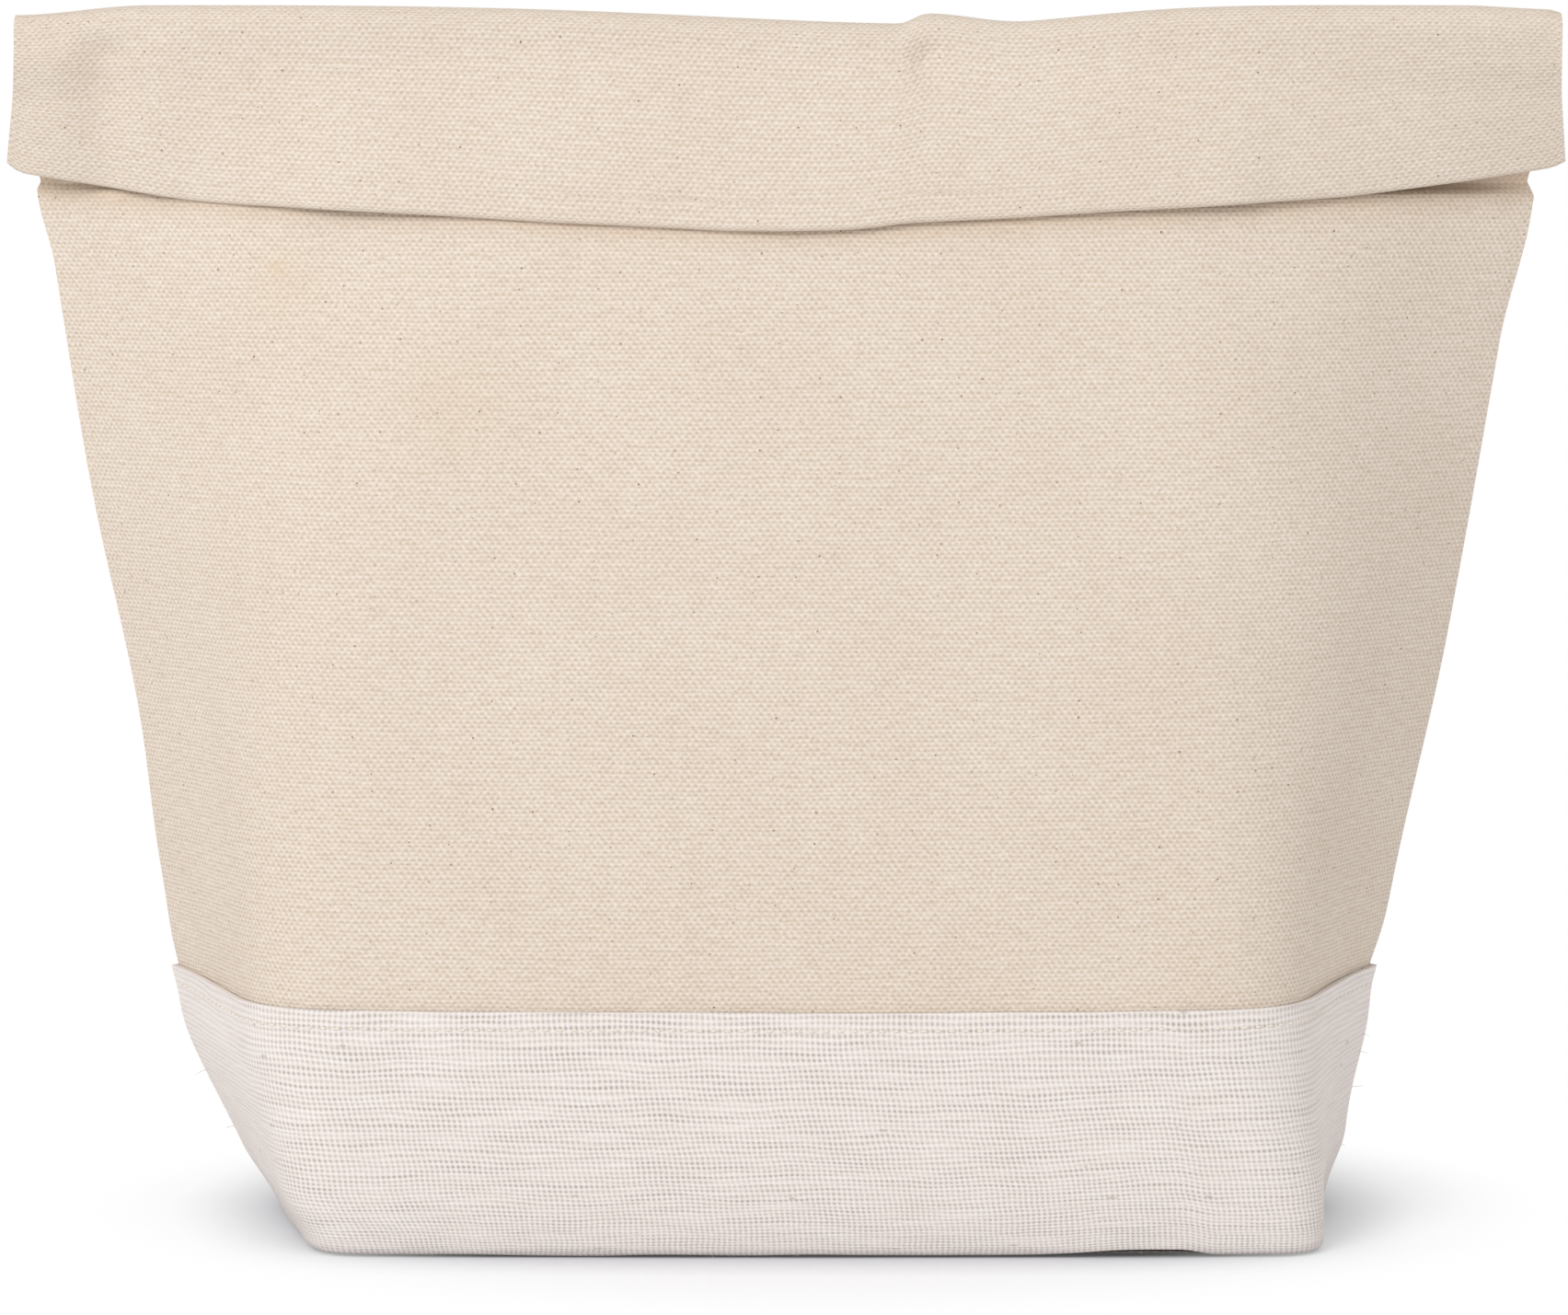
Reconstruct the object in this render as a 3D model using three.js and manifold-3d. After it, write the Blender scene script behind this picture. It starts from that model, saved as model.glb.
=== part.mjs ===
// Cooler bag with a boxed base: two canvas panels on a woven base band, foam insulation,
// a foil lining and a fold-over top that closes on hook-and-loop tape.
// Millimetres, +Z up, the front of the bag faces -Y, the origin is under the middle of the bag.
import * as THREE from "three";
import { mergeVertices } from "three/addons/utils/BufferGeometryUtils.js";
import Module from "manifold-3d";

const wasm = await Module();
wasm.setup();

// Panels
const panelWidth = 340; // cut width of the front and back panels, side seam to side seam
const faceWidth = 216; // part of that width between the two bends into the gussets
const bendRound = 10; // how far each side of a bend the cloth is rounded
const bendGap = 1; // gusset foam and rear corners clear of the bend
const baseShift = 5; // the base stands this far to the right of the band's top edge

// Heights above the floor
const bandHeight = 53; // top edge of the base band
const creaseHeight = 230; // where the insulation ends and the cloth creases
const lipHeight = 24; // front lip above the crease
const ridgeRise = 38; // fold over the top above the crease

// How the gussets stand: degrees between a gusset half and the bag's width
const baseFold = 80;
const bandFold = 65;
const creaseFold = 22;

// How far the middle of a face stands out from its bends
const baseBulge = 1.5;
const bandBulge = 5;
const creaseBulge = 8;

// Cloth, foam, foil and tape thicknesses
const canvasThick = 1;
const bandThick = 1.2;
const foamThick = 3;
const foilThick = 0.6;
const facingThick = 0.8;
const tapeThick = 1.2;
const gap = 0.3; // clearance between neighbouring layers

// Fold-over top
const ridgeSetback = 15; // back edge of the ridge behind the front crease
const ridgeWidth = 8; // flat width of the fold at the ridge
const flapWidth = 340;
const flapDrop = 47; // middle of the flap's lower edge below the ridge
const flapEndRise = 12; // the flap's ends are this much shorter
const flapFollowShare = 0.36; // how closely the flap's ends follow the gussets
const flapHem = 3; // hem along the flap's lower edge
const topEndInset = 0.5; // top panel's ends inside the flap's ends

// Closure tape, seam lap and facings
const tapeLength = 200;
const tapeWidth = 15;
const tapeGap = 0.4; // hook to loop
const tapeDown = 3; // tape below the lip's top edge
const seamLap = 14; // canvas behind the top of the base band
const facingDrop = 10; // facing inside, below the crease
const cornerLap = 1; // rear corner's cloth runs on down into the back panel's
const cornerRoot = 2; // rear corner's height where it starts, at the bend
const cornerGap = 1; // top panel clear of the rear corners
const cornerReach = 0.5; // share of the gusset half over which the rear corner rises

// Finishes
const canvas = { color: 0xe4d7c7, roughness: 0.95, metalness: 0 };
const wovenBand = { color: 0xe4ddd7, roughness: 0.95, metalness: 0 };
const foam = { color: 0xf2f2ee, roughness: 0.9, metalness: 0 };
const foil = { color: 0xc9ccd0, roughness: 0.35, metalness: 0.9 };
const tape = { color: 0xe8e0d2, roughness: 0.9, metalness: 0 };

// Derived sizes
const halfFace = faceWidth / 2;
const gusset = (panelWidth - faceWidth) / 2;
const ridgeHeight = creaseHeight + ridgeRise;
const lipTop = creaseHeight + lipHeight;
const rad = THREE.MathUtils.degToRad;
const creaseDepth = gusset * Math.sin(rad(creaseFold));
const ridgeBack = -(creaseDepth + creaseBulge) + ridgeSetback;
const ridgeFront = ridgeBack - ridgeWidth;

// Layer depths inwards from the canvas's outer face; outside it they are negative
const bandOut = -(gap + bandThick);
const foamOut = canvasThick + gap;
const foamIn = foamOut + foamThick;
const foilOut = foamIn + gap;
const foilIn = foilOut + foilThick;
const facingOut = foilIn + gap;
const facingIn = facingOut + facingThick;
const hookOut = -(gap + tapeThick);
const loopIn = hookOut - tapeGap;
const loopOut = loopIn - tapeThick;
const flapFacingIn = loopOut - gap;
const flapFacingOut = flapFacingIn - facingThick;
const flapCanvasIn = flapFacingOut - gap;
const flapCanvasOut = flapCanvasIn - canvasThick;

// Levels in the base, from the floor up
const insideFloor = bandThick + gap;
const foamTop = insideFloor + foamThick;
const foilFloor = foamTop + gap;

// The bag's section at height z. Above the crease the panels close towards the ridge.
function section(z) {
  const closing = Math.max(0, (z - creaseHeight) / ridgeRise);
  const low = THREE.MathUtils.clamp(z / bandHeight, 0, 1);
  const high = THREE.MathUtils.clamp((z - bandHeight) / (creaseHeight - bandHeight), 0, 1);
  const between = (base, band, crease) => base + (band - base) * low + (crease - band) * high;
  const lying = between(...[baseFold, bandFold, creaseFold].map((fold) => Math.cos(rad(fold))));
  const fold = closing > 0 ? Math.asin((creaseDepth * (1 - closing)) / gusset) : Math.acos(lying);
  return {
    fold,
    depth: gusset * Math.sin(fold),
    halfWidth: halfFace + gusset * Math.cos(fold),
    bulge: between(baseBulge, bandBulge, creaseBulge) * (1 - closing),
    forward: closing * ridgeBack,
    right: baseShift * (1 - low),
  };
}

// Distance in front of the seam plane, at x across the face, of the layer at the given depth
function faceDistance({ depth, bulge }, reach, x, layer) {
  return depth - layer + bulge * (1 - (x / reach) ** 2);
}

// Half a section at height z and layer depth, from the left seam round the face to the right seam
function panelLine(z, layer) {
  const s = section(z);
  const reach = halfFace - layer * Math.tan(s.fold / 2);
  const tip = s.halfWidth - layer / Math.sin(s.fold) - gap / 2 / Math.tan(s.fold);
  const bend = new THREE.Vector2(reach, s.depth - layer);
  const end = new THREE.Vector2(tip, gap / 2);
  const alongWing = (distance) => bend.clone().lerp(end, distance / bend.distanceTo(end));
  const wingStart = alongWing(bendRound);
  const wing = [end, alongWing(cornerReach * gusset)];
  const clearWing = [...wing, alongWing(bendRound + bendGap)];
  const faceEdge = reach - bendRound;
  const onFace = (x) => new THREE.Vector2(x, faceDistance(s, reach, x, layer));
  const faceSteps = 8;
  const face = Array.from({ length: faceSteps + 1 }, (_, i) =>
    onFace(faceEdge * ((2 * i) / faceSteps - 1)),
  );
  const bendCurve = new THREE.QuadraticBezierCurve(wingStart, bend, onFace(faceEdge));
  const corner = bendCurve.getPoints(3).slice(0, -1);
  const mirrored = (points) => points.map((p) => new THREE.Vector2(-p.x, p.y));
  const faceAndBends = [...mirrored(corner), ...face, ...corner.slice().reverse()];
  return {
    left: mirrored(clearWing),
    face: faceAndBends,
    right: clearWing.slice().reverse(),
    all: [...mirrored(wing), ...faceAndBends, ...wing.slice().reverse()],
  };
}

// A row of points at height z: side is -1 for the front panel and 1 for the back panel
function panelRow(side, z, layer, part = "all") {
  const { forward, right } = section(z);
  return panelLine(z, layer)[part].map(
    (p) => new THREE.Vector3(p.x + right, side * p.y + forward, z),
  );
}

const steps = (from, to, count) =>
  Array.from({ length: count + 1 }, (_, i) => from + ((to - from) * i) / count);

const seamLevel = bandHeight - seamLap;
const facingFoot = creaseHeight - facingDrop;
const bodyLevels = [seamLevel, ...steps(bandHeight, facingFoot, 5), creaseHeight];
const bandLevels = (foot) => [...steps(foot, seamLevel, 2), bandHeight];
const fullLevels = (foot) => [...bandLevels(foot), ...bodyLevels.slice(2)];

// A closed sheet between two grids of points, such as the two faces of a cloth
function sheet(outer, inner) {
  const rows = outer.length;
  const columns = outer[0].length;
  const at = (grid, row, column) => (grid * rows + row) * columns + column;
  const index = [];
  const quad = (a, b, c, d) => index.push(a, b, c, a, c, d);
  for (let r = 0; r < rows - 1; r++) {
    for (let c = 0; c < columns - 1; c++) {
      quad(at(0, r, c), at(0, r, c + 1), at(0, r + 1, c + 1), at(0, r + 1, c));
      quad(at(1, r, c), at(1, r + 1, c), at(1, r + 1, c + 1), at(1, r, c + 1));
    }
    const last = columns - 1;
    quad(at(0, r, 0), at(0, r + 1, 0), at(1, r + 1, 0), at(1, r, 0));
    quad(at(0, r + 1, last), at(0, r, last), at(1, r, last), at(1, r + 1, last));
  }
  for (let c = 0; c < columns - 1; c++) {
    const top = rows - 1;
    quad(at(0, 0, c + 1), at(0, 0, c), at(1, 0, c), at(1, 0, c + 1));
    quad(at(0, top, c), at(0, top, c + 1), at(1, top, c + 1), at(1, top, c));
  }
  const geometry = new THREE.BufferGeometry().setFromPoints([...outer, ...inner].flat());
  geometry.setIndex(signedVolume(geometry, index) < 0 ? index.reverse() : index);
  return geometry;
}

function signedVolume(geometry, index) {
  const point = (i) => new THREE.Vector3().fromBufferAttribute(geometry.attributes.position, i);
  let volume = 0;
  for (let i = 0; i < index.length; i += 3) {
    const [a, b, c] = index.slice(i, i + 3).map(point);
    volume += a.dot(b.cross(c)) / 6;
  }
  return volume;
}

// A panel of the bag between two layer depths, through the given heights
function panel(side, levels, outer, inner, part = "all") {
  return sheet(
    levels.map((z) => panelRow(side, z, outer, part)),
    levels.map((z) => panelRow(side, z, inner, part)),
  );
}

// A bent strip along a panel, such as a facing, through pairs of height and layer depth
function strip(side, outer, inner) {
  return sheet(
    outer.map(([z, layer]) => panelRow(side, z, layer)),
    inner.map(([z, layer]) => panelRow(side, z, layer)),
  );
}

// A flat plate that fills the bag's section at height z, from the given layer depth in
function plate(z, layer, thickness) {
  const front = panelRow(-1, z, layer);
  const back = panelRow(1, z, layer).reverse();
  const outline = new THREE.Shape([...front, ...back].map((p) => new THREE.Vector2(p.x, p.y)));
  return new THREE.ExtrudeGeometry(outline, { depth: thickness, bevelEnabled: false });
}

function solid(geometry) {
  const bare = geometry.clone();
  bare.deleteAttribute("normal");
  bare.deleteAttribute("uv");
  const merged = mergeVertices(bare, 1e-4);
  return new wasm.Manifold(
    new wasm.Mesh({
      numProp: 3,
      vertProperties: merged.attributes.position.array,
      triVerts: new Uint32Array(merged.index.array),
    }),
  );
}

function join(...geometries) {
  const mesh = geometries.map(solid).reduce((a, b) => a.add(b)).getMesh();
  return new THREE.BufferGeometry()
    .setAttribute("position", new THREE.BufferAttribute(mesh.vertProperties, 3))
    .setIndex(new THREE.BufferAttribute(mesh.triVerts, 1));
}

const bag = new THREE.Group();

function add(name, geometry, finish, height = 0) {
  const mesh = new THREE.Mesh(geometry, new THREE.MeshStandardMaterial(finish));
  mesh.name = name;
  mesh.position.z = height;
  bag.add(mesh);
}

const front = -1;
const back = 1;

// Base band: a bottom panel, and a front and a back half that stand on it
add("band_bottom", plate(0, bandOut, bandThick), wovenBand);
add("band_front", panel(front, bandLevels(insideFloor), bandOut, -gap), wovenBand);
add("band_back", panel(back, bandLevels(insideFloor), bandOut, -gap), wovenBand);

// Rear corners of the mouth: the back panel's cloth beside the top panel, up to the lip's height.
// The cloth rises from the bend, and runs level over the last stretch to the side seam.
const cornerRise = [lipTop, lipTop, creaseHeight + cornerRoot];

function rearCorner(part, outer, inner, foot) {
  const tops = part === "left" ? cornerRise : cornerRise.slice().reverse();
  const start = Math.max(foot, creaseHeight);
  const below = foot < start ? [0] : [];
  const levels = tops.map((top) => [...below.map(() => foot), ...steps(start, top, 6)]);
  const grid = (layer) =>
    levels[0].map((_, row) =>
      levels.map((level, i) => panelRow(back, level[row], layer, part)[i]),
    );
  return sheet(grid(outer), grid(inner));
}

const corner = (part) => rearCorner(part, 0, canvasThick, creaseHeight - cornerLap);

// Canvas: the front panel runs up into the lip, the back panel into the two rear corners
const lipLevels = steps(creaseHeight, lipTop, 3).slice(1);
add("canvas_front", panel(front, [...bodyLevels, ...lipLevels], 0, canvasThick), canvas);
add("canvas_back", join(panel(back, bodyLevels, 0, canvasThick), corner("left"), corner("right")), canvas);

// Insulation: one foam panel for each face, for each half of each gusset, and for the base
for (const [side, sideName] of [[front, "front"], [back, "back"]]) {
  add(`foam_${sideName}`, panel(side, fullLevels(foilFloor), foamOut, foamIn, "face"), foam);
  for (const part of ["left", "right"]) {
    const wing = panel(side, fullLevels(foilFloor), foamOut, foamIn, part);
    add(`foam_${part}_${sideName}`, wing, foam);
  }
}
add("foam_base", plate(insideFloor, foamOut, foamThick), foam, insideFloor);

// Foil lining: front, back and base
add("lining_front", panel(front, fullLevels(foilFloor), foilOut, foilIn), foil);
add("lining_back", panel(back, fullLevels(foilFloor), foilOut, foilIn), foil);
add("lining_base", plate(foilFloor, foilIn + gap, foilThick), foil, foilFloor);

// Facings: over the foam's top edge and down inside, with a leg up behind the front lip
const shelf = creaseHeight + gap;
const shelfTop = shelf + facingThick;
const lipFacingIn = foamOut + facingThick;
add(
  "lip_facing",
  strip(
    front,
    [
      [facingFoot, facingOut],
      [shelf, facingOut],
      [shelf, foamOut],
      ...lipLevels.map((z) => [z, foamOut]),
    ],
    [
      [facingFoot, facingIn],
      [shelfTop, facingIn],
      [shelfTop, lipFacingIn],
      ...lipLevels.map((z) => [z, lipFacingIn]),
    ],
  ),
  canvas,
);
add(
  "rear_facing",
  strip(
    back,
    [
      [facingFoot, facingOut],
      [shelf, facingOut],
      [shelf, foamOut],
    ],
    [
      [facingFoot, facingIn],
      [shelfTop, facingIn],
      [shelfTop, foamOut],
    ],
  ),
  canvas,
);
const cornerFoot = shelfTop + gap;
add("corner_facing_left", rearCorner("left", foamOut, lipFacingIn, cornerFoot), canvas);
add("corner_facing_right", rearCorner("right", foamOut, lipFacingIn, cornerFoot), canvas);

// A strip on the outside of the lip, or under the flap over it
const tapeTop = lipTop - tapeDown;

function tapeStrip(outer, inner) {
  const columns = steps(-tapeLength / 2, tapeLength / 2, 8);
  const levels = steps(tapeTop - tapeWidth, tapeTop, 2);
  const grid = (layer) =>
    levels.map((z) => columns.map((x) => new THREE.Vector3(x, overLip(x, z, layer), z)));
  return sheet(grid(outer), grid(inner));
}

// Place, front to back, of a layer over the lip at height z; past the bends it follows the gusset
function overLip(x, z, layer, follow = 1) {
  const s = section(z);
  const reach = halfFace - layer * Math.tan(s.fold / 2);
  const past = Math.max(0, Math.abs(x) - reach);
  const onFace = THREE.MathUtils.clamp(x, -reach, reach);
  return s.forward - faceDistance(s, reach, onFace, layer) + past * Math.tan(s.fold) * follow;
}

add("hook_tape", tapeStrip(hookOut, -gap), tape);

// Top panel: cloth over foil, from the back crease forward to the ridge, between the rear corners
const topThick = canvasThick + gap + foilThick;
const topFoot = shelfTop + gap;
const topEnd = flapWidth / 2 - topEndInset;
const cornerTop = lipTop + cornerGap;

function topPanel(outer, inner) {
  const crease = panelRow(back, creaseHeight, 0);
  const wingPoints = cornerRise.length;
  const foot = (i) => {
    const fromEnd = Math.min(i, crease.length - 1 - i);
    return fromEnd < wingPoints ? Math.max(topFoot, cornerRise[fromEnd] + cornerGap) : topFoot;
  };
  const slope = ridgeRise / Math.hypot(ridgeRise, creaseDepth + creaseBulge - ridgeBack);
  const point = (i, share, depth) => {
    const z = THREE.MathUtils.lerp(foot(i), ridgeHeight, share);
    const closing = (z - creaseHeight) / ridgeRise;
    const widening = Math.max(0, (z - cornerTop) / (ridgeHeight - cornerTop));
    const across = THREE.MathUtils.lerp(1, topEnd / crease.at(-1).x, widening);
    const y = THREE.MathUtils.lerp(crease[i].y, ridgeBack, closing);
    const sunk = depth * share;
    return new THREE.Vector3(crease[i].x * across, y - (depth - sunk) / slope, z - sunk);
  };
  const grid = (depth) => {
    const columns = [...crease.keys()];
    const rows = steps(0, 1, 3).map((share) => columns.map((i) => point(i, share, depth)));
    const edge = rows.at(-1).map((p) => new THREE.Vector3(p.x, ridgeFront + gap, p.z));
    return [...rows, edge];
  };
  return sheet(grid(outer), grid(inner));
}

add("top_canvas", topPanel(0, canvasThick), canvas);
add("top_lining", topPanel(canvasThick + gap, topThick), foil);

// Flap: cloth, facing and loop tape, from under the ridge's front edge down over the front
const flapTop = ridgeHeight - topThick - gap;

function flapCloth(outer, inner) {
  const columns = steps(-flapWidth / 2, flapWidth / 2, 20);
  const lowest = (x) => ridgeHeight - flapDrop + flapEndRise * ((2 * x) / flapWidth) ** 2;
  const hang = (x, z, layer) => new THREE.Vector3(x, overLip(x, z, layer, flapFollowShare), z);
  const grid = (layer) => [
    columns.map((x) => new THREE.Vector3(x, ridgeFront + layer - flapCanvasOut, flapTop)),
    columns.map((x) => hang(x, tapeTop, layer)),
    columns.map((x) => hang(x, Math.max(tapeTop - tapeWidth, lowest(x) + flapHem), layer)),
    columns.map((x) => hang(x, lowest(x), layer)),
  ];
  return sheet(grid(outer), grid(inner));
}

add("flap_canvas", flapCloth(flapCanvasOut, flapCanvasIn), canvas);
add("flap_facing", flapCloth(flapFacingOut, flapFacingIn), canvas);
add("loop_tape", tapeStrip(loopOut, loopIn), tape);

export default bag;
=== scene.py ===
# Cooler bag: a soft boxed bag of natural canvas on a woven base band, with a fold-over top.
# The functions work in millimetres, as a pattern cutter would; the meshes are in metres.
import math

import bmesh
import bpy
from mathutils import Matrix, Vector, noise


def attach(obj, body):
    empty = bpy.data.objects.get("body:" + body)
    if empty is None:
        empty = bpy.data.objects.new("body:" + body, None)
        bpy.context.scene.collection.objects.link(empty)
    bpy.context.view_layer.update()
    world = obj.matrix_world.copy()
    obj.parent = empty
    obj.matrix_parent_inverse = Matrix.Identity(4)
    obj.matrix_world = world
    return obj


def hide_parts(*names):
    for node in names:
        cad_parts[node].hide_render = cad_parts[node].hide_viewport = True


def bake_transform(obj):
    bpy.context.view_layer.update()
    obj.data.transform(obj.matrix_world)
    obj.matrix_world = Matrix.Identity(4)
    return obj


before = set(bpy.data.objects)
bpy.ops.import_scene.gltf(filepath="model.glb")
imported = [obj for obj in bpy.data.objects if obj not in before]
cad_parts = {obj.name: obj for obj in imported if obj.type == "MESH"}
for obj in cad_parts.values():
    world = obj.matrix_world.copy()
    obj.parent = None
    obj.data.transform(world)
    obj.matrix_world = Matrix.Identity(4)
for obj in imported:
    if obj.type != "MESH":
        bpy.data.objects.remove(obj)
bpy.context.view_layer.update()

# Bottom panel
# A flat piece of the base band's open slubby cloth, cut to the footprint of the bag and sewn
# to the band all round, with the seam turned inside. The bag stands on it.
FRONT = -1
BACK = 1
cut_half = 170.0
face_half = 108.0
gusset_half = cut_half - face_half
band_height = 53.0
crease_height = 230.0
ridge_height = 268.0
base_fold = math.radians(80)
band_fold = math.radians(65)
crease_fold = math.radians(22)
base_bulge = 1.5
band_bulge = 5.0
crease_bulge = 8.0
ridge_setback = 15.0
crease_depth = gusset_half * math.sin(crease_fold)
ridge_back = -(crease_depth + crease_bulge) + ridge_setback
bottom_round = 2.6


def ease(t):
    t = min(max(t, 0.0), 1.0)
    return t * t * (3 - 2 * t)


def mix(a, b, t):
    return a + (b - a) * t


def hump(x, middle, width):
    return math.exp(-(((x - middle) / width) ** 2))


def stance(z):
    """How the cloth stands at height z: fold of the gusset halves, bulge of a face, and so on."""
    low = min(max(z / band_height, 0.0), 1.0)
    high = min(max((z - band_height) / (crease_height - band_height), 0.0), 1.0)
    closing = max(0.0, (z - crease_height) / (ridge_height - crease_height))
    lying = [math.cos(fold) for fold in (base_fold, band_fold, crease_fold)]
    fold = math.acos(mix(mix(lying[0], lying[1], low), lying[2], high))
    if closing > 0:
        fold = math.asin(crease_depth * (1 - closing) / gusset_half)
    bulge = mix(mix(base_bulge, band_bulge, low), crease_bulge, high) * (1 - closing)
    soft = mix(mix(9.0, 20.0, low), 34.0, ease(high * 1.6))
    forward = closing * ridge_back
    right = 5.5 * (1 - ease(low)) - 1.6 * ease(low) * (1 - ease(high))
    return fold, bulge, soft, forward, right


outlines = {}


def outline(z):
    """Half a section, walked a millimetre at a time from the middle of the face to the seam."""
    level = round(z * 50)
    if level not in outlines:
        fold, bulge, soft, _, _ = stance(level / 50)
        walk = []
        x = 0.0
        d = 0.0
        for s in range(int(cut_half) + 1):
            turn = ease((s - face_half + soft) / (2 * soft))
            crown = 2 * bulge * min(s, face_half) / face_half**2
            angle = (1 - turn) * crown + turn * fold
            walk.append((x, d, angle))
            x += math.cos(angle)
            d -= math.sin(angle)
        depth = -walk[-1][1]
        outlines[level] = [(x, d + depth, angle) for x, d, angle in walk]
    return outlines[level]


def rumple(side, s, z):
    """Soft waves of a used bag, outwards, dying away at the seams and above the crease."""
    if z > crease_height + 8:
        return 0.0
    free = ease((cut_half - abs(s)) / 30) * ease((crease_height + 8 - z) / 16)
    slack = ease((z - 70) / 120)
    broad = noise.noise(Vector((s / 78, z / 62, 3.1 * side)))
    small = noise.noise(Vector((s / 30, z / 44, 9.7 + side)))
    pull = math.sin((z * 0.8 + abs(s) * 0.55) / 7.5) * hump(abs(s), 100, 30) * hump(z, 205, 26)
    dent = 1.7 * hump(s, -54, 22) * hump(z, 168, 24) + 1.3 * hump(s, -100, 20) * hump(z, 203, 15)
    dent += 0.7 * hump(s, 40, 34) * hump(z, 196, 20)
    return free * (1.3 * slack * broad + 0.55 * slack * small + 0.45 * pull - 1.1 * dent)


def pinch(s, z):
    """Over the top of the foam the cloth steps back to the lip, and comes forward again above."""
    back = ease((z - crease_height + 2.6) / 2.8) * (1 - ease((z - crease_height - 1.5) / 9))
    return mix(1.0, 2.7, ease((s + 60) / 120)) * back * ease((cut_half - abs(s)) / 18)


def lean(s, z):
    """How far the sides stand to the right of an even cut: the bag is squeezed and slumped by use."""
    tip = ease((abs(s) - 100) / 55)
    padded_top = ease((crease_height + 0.8 - z) / (2.6 if s < 0 else 4.2))
    if s < 0:
        waist = 3.2 * hump(z, 112, 38) + 1.0 * hump(z, 66, 16) + 1.5 * hump(z, 51, 8)
        corner = 1.3 * ease((z - 212) / 14) * padded_top
        foot = 4.0 * ease((14 - z) / 14) * ease((abs(s) - 50) / 50)
        return tip * (waist - corner) + foot * mix(1.0, 0.65, tip)
    waist = 1.6 * ease((130 - z) / 60) + 1.9 * hump(z, 52, 9)
    waist += 3.0 * ease((50 - z) / 30)
    waist += 1.8 * ease((17 - z) / 12)
    corner = 2.2 * ease((z - 195) / 27) * padded_top
    return tip * (corner - waist)


def wall(side, s, z, layer):
    """A point of the front or back panel, s along the cut, at a depth in from the canvas's face."""
    _, _, _, forward, right = stance(z)
    walk = outline(z)
    at = abs(s)
    step = min(int(at), len(walk) - 2)
    rest = at - step
    x, d, angle = (mix(a, b, rest) for a, b in zip(walk[step], walk[step + 1]))
    tucked = bottom_round - math.sqrt(bottom_round**2 - max(0.0, bottom_round - z) ** 2)
    out = rumple(side, s, z) - layer - tucked - pinch(s, z)
    x += out * math.sin(angle)
    d += out * math.cos(angle)
    return Vector((math.copysign(x, s) + right + lean(s, z), side * d + forward, z))


def seam_at(z, layer, side=None):
    """Where along the cut a layer meets the other panel's at the side seam; inner layers lap it."""
    fold = stance(z)[0]
    lap = 0.0
    if layer > 1.2:
        lap = {FRONT: 0.6 if layer > 4.5 else 0.2, BACK: -0.6}.get(side, 0.0)
    return cut_half - (layer * math.cos(fold) + 0.08 - lap) / math.sin(fold)


def cloth(name, columns, rows, outer, inner, thread):
    """A closed sheet between two faces. Each takes shares across and along, and so does thread,
    which gives the place on the cloth that the weave follows, in millimetres."""
    shape = bmesh.new()
    place = shape.verts.layers.float_vector.new("place")
    for face in (outer, inner):
        made = bmesh.ops.create_grid(shape, x_segments=columns, y_segments=rows, size=0.5)
        for v in made["verts"]:
            across = v.co.x + 0.5
            along = v.co.y + 0.5
            v.co = face(across, along) / 1000
            u, t = thread(across, along)
            v[place] = Vector((u / 1000, t / 1000, 0))
    rim = [e for e in shape.edges if e.is_boundary]
    bmesh.ops.bridge_loops(shape, edges=rim)
    bmesh.ops.recalc_face_normals(shape, faces=shape.faces)
    return finish_cloth(name, shape)


def finish_cloth(name, shape):
    """Turns the thread places into the weave's UV map and keeps the cut edges crisp."""
    place = shape.verts.layers.float_vector["place"]
    weave = shape.loops.layers.uv.new("weave")
    for f in shape.faces:
        f.smooth = True
        for corner in f.loops:
            corner[weave].uv = corner.vert[place].xy
    for e in shape.edges:
        if e.calc_face_angle(0) > math.radians(55):
            e.smooth = False
    piece = new_piece("soft_" + name, shape)
    piece.data.attributes.remove(piece.data.attributes["place"])
    return piece


def new_piece(name, shape):
    """Puts a finished shape into the scene as an object at the origin."""
    mesh = bpy.data.meshes.new(name)
    shape.to_mesh(mesh)
    shape.free()
    piece = bpy.data.objects.new(name, mesh)
    bpy.context.scene.collection.objects.link(piece)
    return piece


def linear(hex_colour):
    """An sRGB hex colour as linear red, green, blue and alpha."""
    parts = [int(hex_colour[i : i + 2], 16) / 255 for i in (1, 3, 5)]
    return [c / 12.92 if c <= 0.04045 else ((c + 0.055) / 1.055) ** 2.4 for c in parts] + [1.0]


def add_node(tree, kind, inputs=(), **settings):
    """Adds one node, with its settings, and its inputs as values or as links."""
    made = tree.nodes.new(kind)
    for name, value in settings.items():
        setattr(made, name, value)
    for name, value in dict(inputs).items():
        if isinstance(value, bpy.types.NodeSocket):
            tree.links.new(value, made.inputs[name])
        else:
            made.inputs[name].default_value = value
    return made


def new_material(name):
    material = bpy.data.materials.new(name)
    material.use_nodes = True
    tree = material.node_tree
    tree.nodes.clear()
    return material, tree


def scaled(tree, vector, factors):
    return add_node(
        tree, "ShaderNodeVectorMath", {0: vector, 1: factors}, operation="MULTIPLY"
    ).outputs["Vector"]


def times(tree, a, b):
    return add_node(tree, "ShaderNodeMath", {0: a, 1: b}, operation="MULTIPLY").outputs[0]


def size_of(tree, value):
    return add_node(tree, "ShaderNodeMath", {0: value}, operation="ABSOLUTE").outputs[0]


def add_share(tree, value, share, base):
    """The base with a share of a value on top of it."""
    return add_node(
        tree, "ShaderNodeMath", {0: value, 1: share, 2: base}, operation="MULTIPLY_ADD"
    ).outputs[0]


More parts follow.
